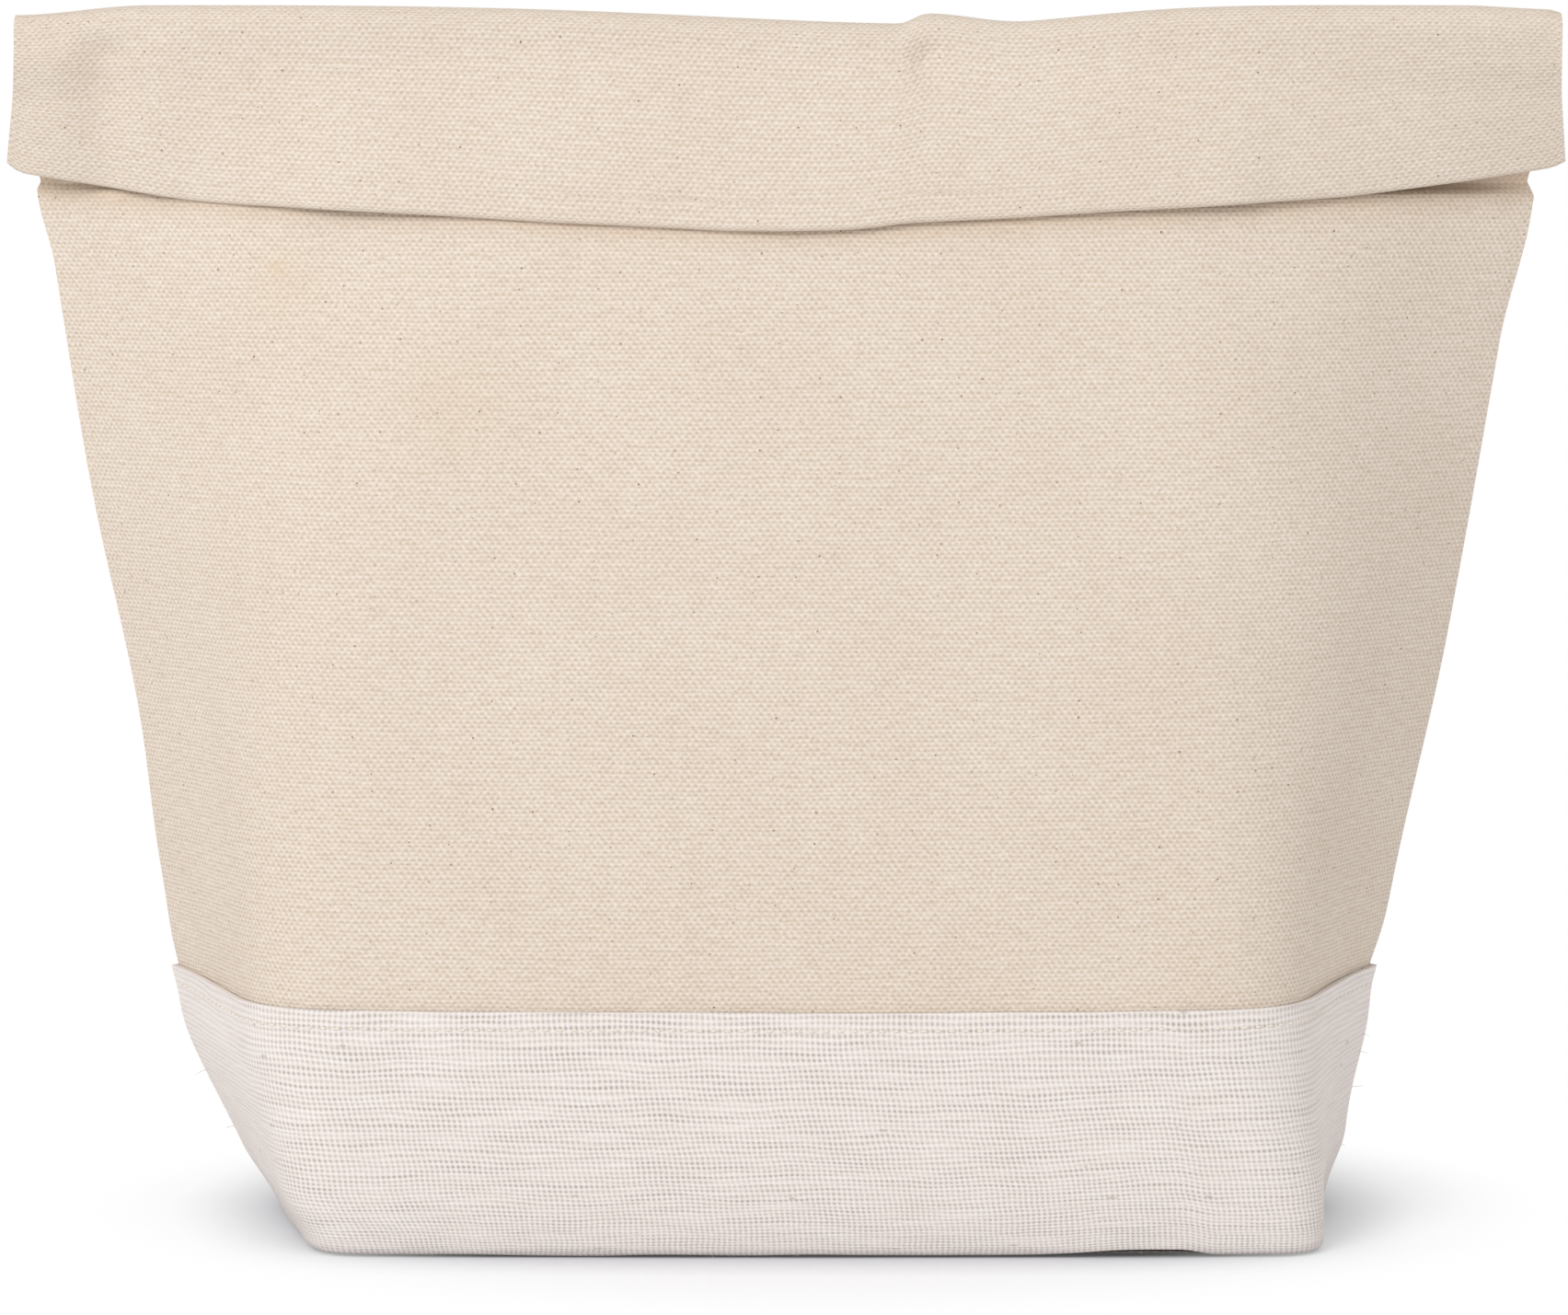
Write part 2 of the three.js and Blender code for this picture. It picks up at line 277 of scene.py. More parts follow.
def between(tree, value, start, end, low=0.0, high=1.0, smooth=False):
    """Runs from low to high while the value goes from start to end, and stays level outside."""
    return add_node(
        tree,
        "ShaderNodeMapRange",
        {"Value": value, "From Min": start, "From Max": end, "To Min": low, "To Max": high},
        interpolation_type="SMOOTHSTEP" if smooth else "LINEAR",
    ).outputs["Result"]


def tinted(tree, share, first, second):
    """A mix of two colours, each a hex colour or another node's colour."""
    a, b = (linear(c) if isinstance(c, str) else c for c in (first, second))
    return add_node(tree, "ShaderNodeMix", {0: share, 6: a, 7: b}, data_type="RGBA").outputs[2]


def raised(tree, height, strength, distance, **settings):
    """The normal of a surface with fine relief."""
    relief = {"Strength": strength, "Distance": distance, "Height": height}
    return add_node(tree, "ShaderNodeBump", relief, **settings).outputs["Normal"]


def surface(tree, inputs):
    shader = add_node(tree, "ShaderNodeBsdfPrincipled", inputs)
    add_node(tree, "ShaderNodeOutputMaterial", {"Surface": shader.outputs["BSDF"]})


def thread_place(tree):
    """The place on the cloth, in millimetres across and along it."""
    uv = add_node(tree, "ShaderNodeUVMap", uv_map="weave").outputs["UV"]
    return scaled(tree, uv, (1000, 1000, 1000))


def uneven(tree, place, stretch, detail, roughness=0.5):
    """Noise over the cloth, stretched along its threads."""
    at = scaled(tree, place, stretch)
    settings = {"Vector": at, "Scale": 1.0, "Detail": detail, "Roughness": roughness}
    return add_node(tree, "ShaderNodeTexNoise", settings)


def wandering(tree, place, stretch, reach):
    """The place on the cloth moved a little, so that no thread runs dead straight."""
    drift = uneven(tree, place, stretch, 2.0).outputs["Color"]
    return add_node(
        tree, "ShaderNodeVectorMath", {0: drift, 1: reach, 2: place}, operation="MULTIPLY_ADD"
    ).outputs["Vector"]


def specks(tree, place, stretch, rarity, largest):
    """Small specks scattered over the cloth, and a random tone for each of them."""
    dots = add_node(
        tree,
        "ShaderNodeTexVoronoi",
        {"Vector": scaled(tree, place, stretch), "Scale": 1.0},
        voronoi_dimensions="2D",
    )
    chance = add_node(tree, "ShaderNodeSeparateColor", {0: dots.outputs["Color"]})
    reach = between(tree, chance.outputs[0], rarity, 1.0, 0.0, largest)
    within = {0: dots.outputs["Distance"], 1: reach}
    speck = add_node(tree, "ShaderNodeMath", within, operation="LESS_THAN").outputs[0]
    return speck, chance.outputs[1]


# Woven band cloth: an open plain weave of thick, uneven off-white yarns, cotton with jute.
# The eye sees rows of grains with small grey holes between them, and slubs along the rows. The holes are
# painted grey for the shade inside them, less so towards the gussets, and the thread crossings are
# painted lighter as a highlight.
band_warp = 1.17
band_weft = 1.06
knot_strength = 0.4
band_cloth, tree = new_material("open_slubby_juco_weave")
place = thread_place(tree)
drifted = wandering(tree, place, (0.045, 0.16, 1), (1.2, 1.9, 0))
turns = scaled(tree, drifted, (math.pi / band_warp, math.pi / band_weft, 1))
crossings = []
for wave in ("SINE", "COSINE"):
    waves = add_node(tree, "ShaderNodeVectorMath", {0: turns}, operation=wave).outputs["Vector"]
    thread = add_node(tree, "ShaderNodeSeparateXYZ", {0: waves})
    crossings.append(times(tree, thread.outputs["X"], thread.outputs["Y"]))
# Thread crossings: raised in the relief, and painted lighter in the colour as a highlight on them.
crossing_relief_and_highlight = size_of(tree, crossings[0])
opening = times(tree, crossings[1], crossings[1])
patch = uneven(tree, place, (0.05, 0.5, 1), 4.0, 0.7).outputs["Fac"]
from_middle = size_of(tree, add_node(tree, "ShaderNodeSeparateXYZ", {0: place}).outputs["X"])
# Towards the gussets the holes' depth and painted shade fade, standing in for holes that hide between
# the yarns when seen at a slant.
gusset_hole_fade = between(tree, from_middle, 100.0, 135.0, 1.0, 0.4, smooth=True)
loose = times(tree, between(tree, patch, 0.36, 0.66, 0.3, 1.15), gusset_hole_fade)
hole_depth_and_shade = times(tree, opening, loose)
slub = uneven(tree, place, (0.06, 0.9, 1), 3.0, 0.6).outputs["Fac"]
fuzz = uneven(tree, place, (1.3, 1.5, 1), 2.0, 0.6).outputs["Fac"]
full = add_share(tree, crossing_relief_and_highlight, 0.5, slub)
full = add_share(tree, fuzz, 0.9, full)
# Yarn colour: uneven tone from slubs and fuzz, plus the painted highlight on the thread crossings.
yarn_tone_and_highlight = tinted(tree, between(tree, full, 0.65, 1.75), "#DBD1CB", "#EEE7E2")
full = add_node(tree, "ShaderNodeMath", {0: full, 1: hole_depth_and_shade}, operation="SUBTRACT").outputs[0]
# Painted shade: the holes are coloured grey for the shade inside them.
colour = tinted(tree, hole_depth_and_shade, yarn_tone_and_highlight, "#AFA6A0")
knot, _ = specks(tree, drifted, (0.045, 0.12, 1), 0.6, 0.05)
colour = tinted(tree, times(tree, knot, knot_strength), colour, "#A3968A")
surface(
    tree,
    {
        "Base Color": colour,
        "Roughness": 0.93,
        "Normal": raised(tree, full, 0.5, 0.0003),
        "Specular IOR Level": 0.25,
    },
)


def footprint(z, layer):
    """The bag's section at a height, filled: across runs along the cut, along from front to back."""

    def face(across, along):
        s = (2 * across - 1) * seam_at(z, layer)
        front = wall(FRONT, s, z, layer)
        back = wall(BACK, s, z, layer)
        return front.lerp(back, along)

    return face


def flat_thread(across, along):
    return 230 * across - 115, 200 + 124 * along


band_bottom = cloth(
    "band_bottom", 60, 30, footprint(0.0, 2.0), footprint(1.1, -1.2), flat_thread
)
band_bottom.data.materials.append(band_cloth)
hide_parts("band_bottom")
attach(band_bottom, "bag_body")

# Base band, front and back halves
# Two strips of the same open cloth, seamed to each other in the middle of each gusset. They lap
# over the foot of the canvas, and a row of topstitching just under their top edge holds them.
band_gap = 0.3
band_thick = 1.2


def band_foot(side, s):
    """The lower edge runs a little uneven, and lifts off the floor at one place in front."""
    wave = 0.35 * noise.noise(Vector((s / 17, 4.4 * side, 0.5)))
    lift = 1.3 * ease((s - 36) / 42) * (1 - ease((s - 80) / 8)) if side == FRONT else 0.0
    return 0.55 + max(wave, -0.3) + lift


def band_top(side, s):
    return band_height + 1.4 * ease((abs(s) - 120) / 50) + 0.3 * noise.noise(Vector((s / 40, side, 2.2)))


def band_face(side, layer):
    def face(across, along):
        share = 2 * across - 1
        s = share * cut_half
        foot = band_foot(side, s)
        z = mix(foot, band_top(side, s), along**1.35)
        return wall(side, share * seam_at(z, layer), z, layer)

    return face


for side, name in ((FRONT, "band_front"), (BACK, "band_back")):
    outer = band_face(side, -(band_gap + band_thick))
    inner = band_face(side, -band_gap)
    offset = 100 if side == BACK else 0
    band = cloth(name, 170, 40, outer, inner, lambda a, b: (340 * a - 170, offset + 56 * b))
    band.data.materials.append(band_cloth)
    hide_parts(name)
    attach(band, "bag_body")

# Insulation
# Soft closed-cell foam, 3 mm thick, sealed between the canvas and the lining: a panel for each
# face that goes round the bends, one for each half of each gusset, and one under the lining's base.
foam_out = 1.3
foam_in = 4.3
lining_floor = 4.8
foam_cell = 0.9
foam_finish, tree = new_material("closed_cell_polyethylene_foam")
spot = add_node(tree, "ShaderNodeTexCoord").outputs["Object"]
cells = add_node(
    tree, "ShaderNodeTexVoronoi", {"Vector": spot, "Scale": 1000 / foam_cell}
).outputs["Distance"]
surface(
    tree,
    {
        "Base Color": tinted(tree, cells, "#F4F4F0", "#DCDCD8"),
        "Roughness": 0.85,
        "Normal": raised(tree, cells, 0.5, 0.0002, invert=True),
    },
)


def foam_face(side, start, end, layer):
    """A foam panel's face; an end of None is the side seam."""

    def face(across, along):
        z = mix(lining_floor, crease_height, along)
        first = -seam_at(z, layer, side) if start is None else start
        last = seam_at(z, layer, side) if end is None else end
        return wall(side, mix(first, last, across), z, layer)

    return face


for side, side_name in ((FRONT, "front"), (BACK, "back")):
    parts = ((f"foam_{side_name}", -118, 118), (f"foam_left_{side_name}", None, -119.5))
    for name, start, end in parts + ((f"foam_right_{side_name}", 119.5, None),):
        outer = foam_face(side, start, end, foam_out)
        inner = foam_face(side, start, end, foam_in)
        columns = 60 if start and end else 14
        foam = cloth(name, columns, 50, outer, inner, lambda a, b: (300 * a, 225 * b))
        foam.data.materials.append(foam_finish)
        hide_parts(name)
        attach(foam, "bag_body")
foam_base = cloth(
    "foam_base", 60, 30, footprint(1.6, foam_out), footprint(4.5, foam_out), flat_thread
)
foam_base.data.materials.append(foam_finish)
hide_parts("foam_base")
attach(foam_base, "bag_body")

# Lining
# Metallised film on a thin backing, front, back and base, welded along the side seams and round
# the floor. It is crinkled all over from being folded flat, and loose enough to ripple.
foil_out = 4.6
foil_in = 5.2
crinkle = 11.0
foil, tree = new_material("crinkled_metallised_film")
spot = add_node(tree, "ShaderNodeTexCoord").outputs["Object"]
warp = add_node(
    tree, "ShaderNodeTexNoise", {"Vector": spot, "Scale": 60.0, "Detail": 2.0}
).outputs["Color"]
warped = add_node(
    tree, "ShaderNodeVectorMath", {0: warp, 1: (0.02, 0.02, 0.02), 2: spot}, operation="MULTIPLY_ADD"
).outputs["Vector"]
facets = add_node(
    tree,
    "ShaderNodeTexVoronoi",
    {"Vector": warped, "Scale": 1000 / crinkle, "Smoothness": 0.45},
    feature="SMOOTH_F1",
)
slant = add_node(
    tree,
    "ShaderNodeVectorMath",
    {0: facets.outputs["Color"], 1: (0.5, 0.5, 0.5)},
    operation="SUBTRACT",
).outputs["Vector"]
off_centre = add_node(
    tree,
    "ShaderNodeVectorMath",
    {0: warped, 1: facets.outputs["Position"]},
    operation="SUBTRACT",
).outputs["Vector"]
tilt = add_node(
    tree, "ShaderNodeVectorMath", {0: slant, 1: off_centre}, operation="DOT_PRODUCT"
).outputs["Value"]
surface(
    tree,
    {
        "Base Color": tinted(tree, facets.outputs["Distance"], "#F0F2F4", "#D4D8DC"),
        "Metallic": 0.5,
        "Roughness": between(tree, facets.outputs["Distance"], 0.0, 0.8, 0.24, 0.42),
        "Normal": raised(tree, tilt, 0.6, 0.45),
    },
)


def film_face(side, layer):
    def face(across, along):
        share = 2 * across - 1
        z = mix(lining_floor, crease_height - 0.2, along)
        point = wall(side, share * seam_at(z, layer, side), z, layer)
        held = ease((1 - abs(share)) / 0.06) * ease(along / 0.05) * ease((0.95 - along) / 0.05)
        ripple = noise.noise(point / 15) ** 2 + 0.6 * noise.noise(point / 6) ** 2
        return point + Vector((0, -side * 2.2 * held * ripple, 0))

    return face


for side, name in ((FRONT, "lining_front"), (BACK, "lining_back")):
    outer = film_face(side, foil_out)
    inner = film_face(side, foil_in)
    lining = cloth(name, 150, 100, outer, inner, lambda a, b: (330 * a, 225 * b))
    lining.data.materials.append(foil)
    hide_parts(name)
    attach(lining, "bag_body")
lining_base = cloth(
    "lining_base", 60, 30, footprint(4.8, 5.5), footprint(5.4, 5.5), flat_thread
)
lining_base.data.materials.append(foil)
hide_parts("lining_base")
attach(lining_base, "bag_body")

# Canvas, front and back panels
# Unbleached cotton canvas in a plain weave. Each panel is one cloth with half of each gusset, and
# the front runs up into the lip, the back into the two corners beside the fold-over top.
seam_foot = 39.0
lip_top = 254.0
canvas_thick = 1.0
canvas_warp = 0.77
canvas_weft = 0.99


def weave_spot(tree, place, centre, width):
    """A soft round spot on the cloth, 1 at its middle, for a faint darker spot."""
    away = add_node(
        tree, "ShaderNodeVectorMath", {0: place, 1: centre}, operation="DISTANCE"
    ).outputs["Value"]
    return between(tree, away, width, 0.0, smooth=True)


canvas, tree = new_material("natural_cotton_canvas")
place = thread_place(tree)
drifted = wandering(tree, place, (0.12, 0.3, 1), (0.6, 0.8, 0))
turns = scaled(tree, drifted, (math.pi / canvas_warp, math.pi / canvas_weft, 1))
phases = add_node(tree, "ShaderNodeCombineXYZ")
for i, share in enumerate(((0, 2, 0), (1, 1, 0), (1, -1, 0))):
    phase = add_node(tree, "ShaderNodeVectorMath", {0: turns, 1: share}, operation="DOT_PRODUCT")
    tree.links.new(phase.outputs["Value"], phases.inputs[i])
waves = add_node(
    tree, "ShaderNodeVectorMath", {0: phases.outputs["Vector"]}, operation="SINE"
).outputs["Vector"]
full = add_node(
    tree, "ShaderNodeVectorMath", {0: waves, 1: (0.2, 0.165, 0.14)}, operation="DOT_PRODUCT"
).outputs["Value"]
for stretch, amount in (((0.2, 0.75, 1), 0.66), ((1.25, 1.0, 1), 1.32)):
    yarn = uneven(tree, place, stretch, 3.0, 0.6).outputs["Fac"]
    full = add_share(tree, yarn, amount, full)
# Partly painted light: the colour follows the weave's relief, so besides the yarns' own uneven tone the
# thread tops are painted lighter and the gaps between them darker.
cotton = tinted(tree, between(tree, full, 0.49, 1.49), "#CBBBAA", "#EAE2DA")
mottle = add_node(
    tree, "ShaderNodeTexNoise", {"Vector": place, "Scale": 0.03, "Detail": 3.0}
).outputs["Fac"]
toned = tinted(tree, mottle, "#F6F1EA", "#FFFDFA")
cotton = add_node(
    tree, "ShaderNodeMix", {0: 1.0, 6: cotton, 7: toned}, data_type="RGBA", blend_type="MULTIPLY"
).outputs[2]
# Faint darker, browner spots on the front: a stain with a darker middle at the upper left, and a broad
# patch below and right of it.
darker_spots = (((-110, 208, 0), 13, 0.2), ((-72, 182, 0), 24, 0.14), ((-112, 211, 0), 3, 0.4))
for centre, width, strength in darker_spots:
    darker_spot = weave_spot(tree, place, centre, width)
    cotton = tinted(tree, times(tree, darker_spot, strength), cotton, "#D6BC9C")
# Painted shade: a warm brown band on the front from just under the flap's lower edge up to just above
# the crease, rising towards the ends with that edge, where the flap shades the cloth.
on_cloth = add_node(tree, "ShaderNodeSeparateXYZ", {0: place})
up_cloth = on_cloth.outputs["Y"]
past_flap = add_share(tree, size_of(tree, on_cloth.outputs["X"]), -0.055, up_cloth)
above = between(tree, past_flap, 212.5, 223.0, 0.0, 0.44, smooth=True)
below = between(tree, up_cloth, 240.0, 232.0, smooth=True)
cotton = tinted(tree, times(tree, above, below), cotton, "#C7A784")
speck, tone = specks(tree, drifted, (0.23, 0.25, 1), 0.3, 0.06)
cotton = tinted(tree, times(tree, speck, tone), cotton, "#8A6E56")
surface(
    tree,
    {
        "Base Color": cotton,
        "Roughness": 0.92,
        "Normal": raised(tree, full, 0.6, 0.0003),
        "Specular IOR Level": 0.25,
    },
)


def corner_top(s):
    """Top edge of the back panel: level along the crease, and up beside the fold-over top."""
    return crease_height + (lip_top - crease_height) * ease((abs(s) - 116) / 24)


def front_height(along):
    """Rows of the front panel, closer together about the crease."""
    if along < 0.64:
        return mix(seam_foot, crease_height - 8, along / 0.64)
    if along < 0.9:
        return mix(crease_height - 8, crease_height + 6, (along - 0.64) / 0.26)
    return mix(crease_height + 6, lip_top, (along - 0.9) / 0.1)


def front_face(layer):
    def face(across, along):
        share = 2 * across - 1
        z = front_height(along)
        return wall(FRONT, share * seam_at(z, layer), z, layer)

    return face


def back_face(layer):
    def face(across, along):
        share = 2 * across - 1
        z = mix(seam_foot, corner_top(share * cut_half), along)
        return wall(BACK, share * seam_at(z, layer), z, layer)

    return face


canvas_front = cloth(
    "canvas_front",
    170,
    120,
    front_face(0.0),
    front_face(canvas_thick),
    lambda a, b: (340 * a - 170, front_height(b) * 1.04 - 9),
)
canvas_back = cloth(
    "canvas_back",
    170,
    100,
    back_face(0.0),
    back_face(canvas_thick),
    lambda a, b: (340 * a + 700, mix(seam_foot, corner_top(340 * a - 170), b) * 1.04),
)
for panel, node in ((canvas_front, "canvas_front"), (canvas_back, "canvas_back")):
    panel.data.materials.append(canvas)
    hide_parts(node)
    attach(panel, "bag_body")

# Facings at the mouth
# Strips of the same canvas that close the raw edges: over the foam and up behind the front lip,
# over the foam along the back, and behind each rear corner.
facing_foot = 220.0
shelf = 230.3
shelf_top = 231.1
lip_middle = 242.0
facing_top = 253.6
inside_lining = 5.5
facing_back = 6.3
behind_canvas = 1.3
behind_facing = 2.1
corner_start = 121.5
corner_foot = 231.5


def folded(side, path):
    """A face that follows a path of (height, depth) pairs, the same all along the panel."""

    def face(across, along):
        reach = along * (len(path) - 1)
        step = min(int(reach), len(path) - 2)
        z, layer = (mix(a, b, reach - step) for a, b in zip(path[step], path[step + 1]))
        return wall(side, (2 * across - 1) * seam_at(z, layer, side), z, layer)

    return face


lip_out = [(facing_foot, inside_lining), (shelf, inside_lining)]
lip_out += [(z, behind_canvas) for z in (shelf, lip_middle, facing_top)]
lip_in = [(facing_foot, facing_back), (shelf_top, facing_back)]
lip_in += [(z, behind_facing) for z in (shelf_top, lip_middle, facing_top)]
lip_facing = cloth(
    "lip_facing",
    130,
    40,
    folded(FRONT, lip_out),
    folded(FRONT, lip_in),
    lambda a, b: (1300 + 330 * a, 42 * b),
)
rear_facing = cloth(
    "rear_facing",
    130,
    20,
    folded(BACK, lip_out[:3]),
    folded(BACK, lip_in[:2] + [(shelf_top, behind_canvas)]),
    lambda a, b: (1300 + 330 * a, 100 + 18 * b),
)


def corner_face(hand, layer):
    def face(across, along):
        top = corner_top(hand * mix(corner_start, cut_half, across)) - 0.3
        z = mix(corner_foot, max(top, corner_foot + 0.5), along)
        return wall(BACK, hand * mix(corner_start, seam_at(z, layer, BACK), across), z, layer)

    return face


def corner_thread(across, along):
    return 1700 + 50 * across, 24 * along


facings = [(lip_facing, "lip_facing"), (rear_facing, "rear_facing")]
for hand, node in ((-1, "corner_facing_left"), (1, "corner_facing_right")):
    outer = corner_face(hand, behind_canvas)
    inner = corner_face(hand, behind_facing)
    facing = cloth(node, 24, 12, outer, inner, corner_thread)
    facings.append((facing, node))
for facing, node in facings:
    facing.data.materials.append(canvas)
    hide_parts(node)
    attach(facing, "bag_body")

# Hook tape
# A woven nylon tape with stiff hooks, sewn to the outside of the front lip, where the loops of the
# flap's tape meet it when the bag is shut.
tape_half = 100.0
tape_low = 236.0
tape_high = 251.0
hook_pitch = 1.7


def tape_material(name, ground, tips, pitch, rise):
    """Rows of hooks or loops, drawn as bumps at their real spacing on the tape."""
    material, tree = new_material(name)
    uv = add_node(tree, "ShaderNodeUVMap", uv_map="weave").outputs["UV"]
    dots = add_node(
        tree,
        "ShaderNodeTexVoronoi",
        {"Vector": uv, "Scale": 1000 / pitch, "Randomness": 0.45},
        voronoi_dimensions="2D",
    ).outputs["Distance"]
    surface(
        tree,
        {
            "Base Color": tinted(tree, dots, tips, ground),
            "Roughness": 0.85,
            "Normal": raised(tree, dots, 0.8, rise, invert=True),
        },
    )
    return material


def tape_face(layer):
    def face(across, along):
        s = (2 * across - 1) * tape_half
        return wall(FRONT, s, mix(tape_low, tape_high, along), layer)

    return face


def tape_thread(across, along):
    return 200 * across, 15 * along


hook_tape = cloth("hook_tape", 80, 8, tape_face(-1.2), tape_face(-0.3), tape_thread)
hook_tape.data.materials.append(
    tape_material("hook_tape_nylon", "#CFC6B6", "#EFE8DB", hook_pitch, 0.0009)
)
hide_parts("hook_tape")
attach(hook_tape, "bag_body")

# Top panel
# The back panel's canvas, folded forward at the crease over the mouth, with lining under it. Its
# front edge turns over the ridge into the flap; its ends run free beside the rear corners.
ridge_middle = -20.2
ridge_round = 4.1
ridge_start = math.radians(50)
ridge_follow = 0.13


def ridge_top(x):
    """Height of the fold: it slumps right of the middle, with a small peak in the slump."""
    slump = 4.2 * hump(x, 38, 76 if x < 38 else 37)
    peak = 2.3 * ease((x - 25) / 6.5) * (1 - ease((x - 32) / 22))
    droop = 2.1 * ease((-140 - x) / 30) + 0.8 * ease((x - 148) / 20) + 1.2 * ease((x - 167) / 5)
    return ridge_height + 0.9 - slump - droop + peak


def set_back(x):
    """How much the fold and the flap follow the bag's rounded front back, towards their ends."""
    past = max(0.0, abs(x) - 94)
    return past**2 / (past + 28)


def top_foot(s):
    """Where the top panel's own cloth starts: at the crease, and just clear of the rear corners."""
    return corner_top(s) + 1.0 * ease((abs(s) - 112) / 7)


def top_point(across, along, layer):
    s = (2 * across - 1) * (cut_half - 0.4)
    crease = wall(BACK, s, crease_height, 0.0)
    x = crease.x * mix(1.0, (166.6 if s < 0 else 168.2) / 165.4, ease((along - 0.5) / 0.5))
    ridge = Vector((0, 0, 0))
    ridge.y = ridge_middle + ridge_round * math.cos(ridge_start) + ridge_follow * set_back(x)
    ridge.z = ridge_top(x) - ridge_round * (1 - math.sin(ridge_start))
    rise = (top_foot(s) - crease_height) / (ridge_height - crease_height)
    share = mix(rise, 1.0, along)
    y = mix(crease.y, ridge.y, share)
    z = mix(crease_height, ridge.z, share)
    inner = math.sin(math.pi * share)
    sag = inner * (1.6 + 1.1 * noise.noise(Vector((x / 55, share * 1.7, 6.0))))
    sag *= ease((cut_half - abs(s)) / 40)
    fold = 0.8 * inner * math.sin(x / 17 + 3 * share) * hump(abs(x), 118, 30)
    down = layer + sag + fold
    return Vector((x, y - 0.62 * down, z - 0.78 * down))


def top_thread(across, along):
    return 2200 + 340 * across, 62 * along


top_canvas = cloth(
    "top_canvas",
    150,
    44,
    lambda a, b: top_point(a, b, 0.0),
    lambda a, b: top_point(a, b, canvas_thick),
    top_thread,
)
top_lining = cloth(
    "top_lining",
    150,
    44,
    lambda a, b: top_point(a, mix(0.02, 0.985, b), 1.3),
    lambda a, b: top_point(a, mix(0.02, 0.985, b), 1.9),
    top_thread,
)
top_canvas.data.materials.append(canvas)
top_lining.data.materials.append(foil)
for piece, node in ((top_canvas, "top_canvas"), (top_lining, "top_lining")):
    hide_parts(node)
    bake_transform(piece)

# Flap
# The same canvas carried over the ridge and down the front. Its lower edge is turned up inside, so
# it is a soft round fold with no stitching, and a facing covers the back of it.
flap_half = 170.0
turn_round = 1.0
over_ridge = 0.2
down_front = 0.85
round_edge = 0.95


def flap_edge(x):
    """Height of the flap's lower edge: lowest near the middle, and steeper near the ends."""
    away = abs(x)
    slopes = ((12, 0.052), (128, 0.115)) if x < 0 else ((12, 0.055), (122, 0.093))
    bow = sum(slope * (math.hypot(away - start, 6) + away - start) / 2 for start, slope in slopes)
    step = 0.9 * ease((x - 14) / 16) + (1.6 if x < 0 else 0.9) * max(0.0, (away - 165.5) / 4.5) ** 2
    return 219.7 + bow + step + 0.25 * noise.noise(Vector((x / 33, 7, 1)))


def over_lip(x, z, layer):
    """Where a layer over the front lip stands, front to back."""
    fold, bulge, _, forward, _ = stance(z)
    depth = gusset_half * math.sin(fold)
    on_face = min(abs(x) / face_half, 1.0)
    return forward - (depth - layer + bulge * (1 - on_face**2))


def flap_hang(x, z):
    """The flap's outer face over the tape, eased into one curve from the ridge to the lower edge."""
    high, middle, low = 258.0, 241.0, 224.0
    a = over_lip(x, high, -4.6)
    b = over_lip(x, middle, -4.5)
    c = over_lip(x, low, mix(-2.7, 0.4 if x < 0 else -1.3, ease((abs(x) - 105) / 35)))
    t = (z - high) / (middle - high)
    follow = (0.18 if x < 0 else 0.2) + 0.0095 * max(256.0 - z, 0.0)
    return a + (b - a) * t + (c - 2 * b + a) * t * (t - 1) / 2 + follow * set_back(x)


def flap_soft(x, z):
    """Soft shape of the flap: puffed, with a valley near its left end and a dent under the peak."""
    hang = ease((264 - z) / 20) * ease((z - 219) / 14)
    puff = 0.5 + 0.8 * noise.noise(Vector((x / 60, z / 45, 12.0)))
    valley = 1.8 * hump(x, -148.5 - 0.08 * (z - 240), 4.5)
    valley -= 1.5 * hump(x, -161, 6)
    valley -= 0.9 * hump(x, -137, 7)
    valley *= ease((270 - z) / 12)
    dent = 2.4 * hump(x, 31, 2.7) * hump(z, 259, 8)
    return hang * max(puff, 0.0) - valley - dent


def flap_path(x, along):
    """A point of the flap's outer face: over the ridge, down the front and round the lower edge."""
    top = ridge_top(x)
    edge = flap_edge(x)
    if along < over_ridge:
        angle = mix(ridge_start, math.pi, along / over_ridge)
        y = ridge_middle + ridge_round * math.cos(angle) + ridge_follow * set_back(x)
        z = top - ridge_round * (1 - math.sin(angle))
        return y, z
    high = top - ridge_round
    if along < down_front:
        z = mix(high, edge + turn_round, (along - over_ridge) / (down_front - over_ridge))
        start = ridge_middle - ridge_round + ridge_follow * set_back(x)
        settle = ease((high - z) / 16)
        y = mix(start, flap_hang(x, z), settle)
        return y - flap_soft(x, z) * ease((high - z) / 6), z
    y, z = flap_path(x, down_front - 0.0001)
    if along < round_edge:
        angle = math.pi * (along - down_front) / (round_edge - down_front)
        return y + turn_round * (1 - math.cos(angle)), z - turn_round * math.sin(angle)
    return y + 2 * turn_round - 0.1, z + 5.5 * (along - round_edge) / (1 - round_edge)


def flap_point(across, along):
    x = (2 * across - 1) * flap_half
    y, z = flap_path(x, along)
    low = ease((262 - z) / 40)
    reach = mix(-1.2, 3.2, low) if x < 0 else mix(0.6, 4.0, low)
    return Vector((x + math.copysign(1, x) * reach * ease((abs(x) - 110) / 60), y, z))


def inside(face, depth):
    """The face that lies a depth in from another, square to it."""

    def offset(across, along):
        a = min(max(across, 0.002), 0.998)
        b = min(max(along, 0.002), 0.998)
        side = face(a + 0.002, b) - face(a - 0.002, b)
        down = face(a, b + 0.002) - face(a, b - 0.002)
        return face(across, along) - side.cross(down).normalized() * depth

    return offset


flap_canvas = cloth(
    "flap_canvas",
    170,
    90,
    flap_point,
    inside(flap_point, -0.9),
    lambda a, b: (2700 + 340 * a, 62 * b),
)


